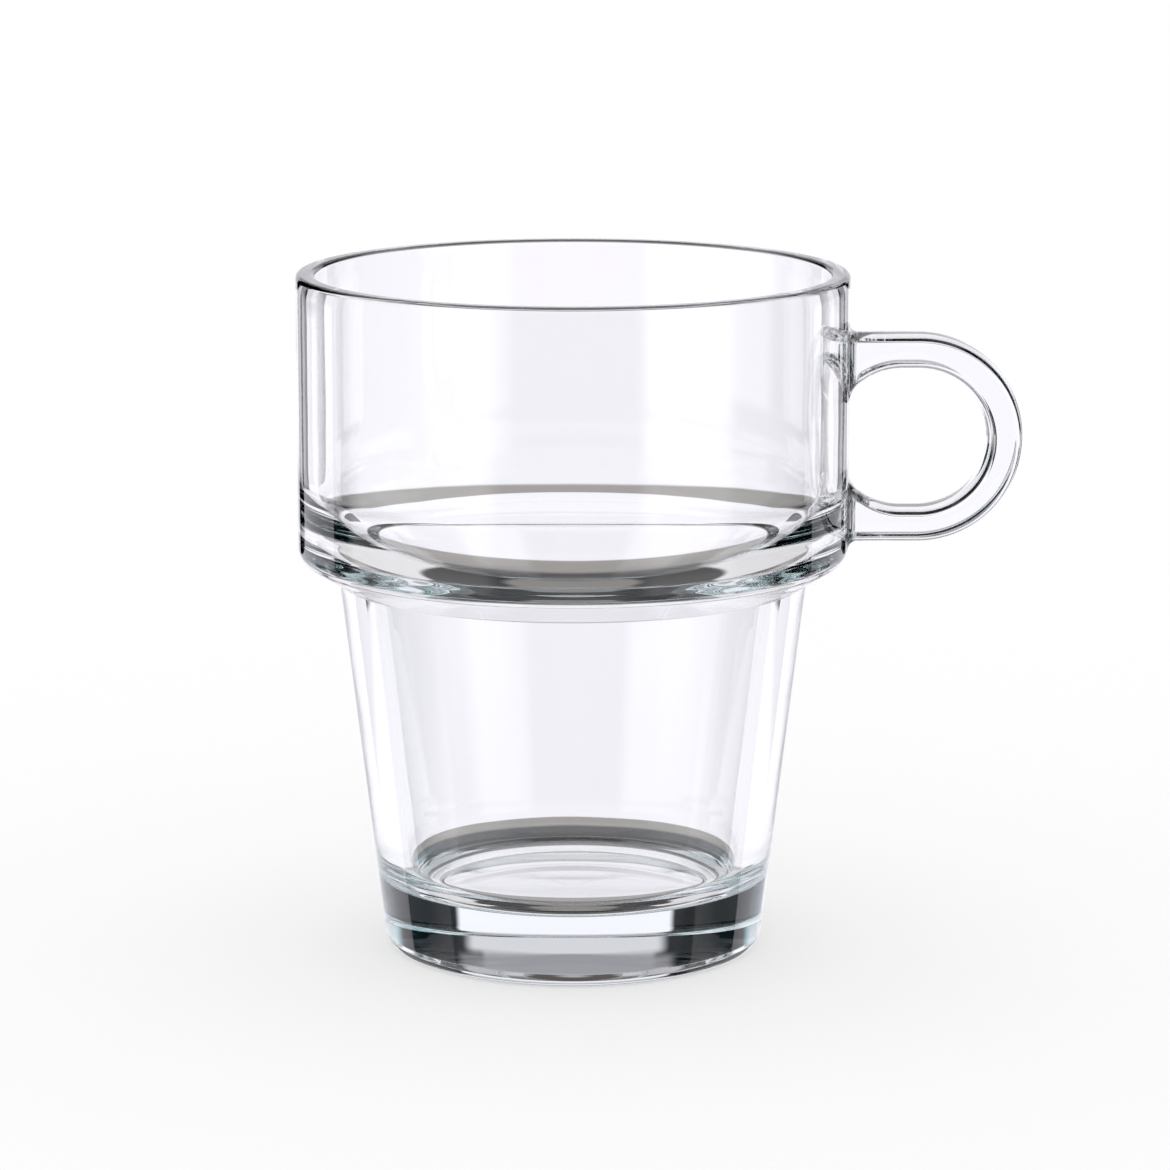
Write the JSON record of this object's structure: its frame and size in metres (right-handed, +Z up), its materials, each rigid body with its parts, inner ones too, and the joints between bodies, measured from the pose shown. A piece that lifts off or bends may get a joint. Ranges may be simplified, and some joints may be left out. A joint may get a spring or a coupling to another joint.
{
  "type": "cortado glass",
  "caption": "Clear pressed-glass stacking cup for a cortado, with a straight bowl, a rounded step, a tapered shank, a heavy base and a loop handle.",
  "frame": {"origin": "on the cup's axis, in the plane that the foot stands on", "axes": "+Z up along the cup's axis, +X towards the handle, +Y away from a person who holds the handle in the right hand"},
  "size_m": [0.0868, 0.066, 0.082],
  "materials": {
    "clear_glass": "clear soda-lime glass, pressed and fire-polished, with a faint teal tint where it is thick"
  },
  "bodies": {
    "root": {"cup_body": "clear_glass", "handle": "clear_glass"}
  },
  "joints": []
}
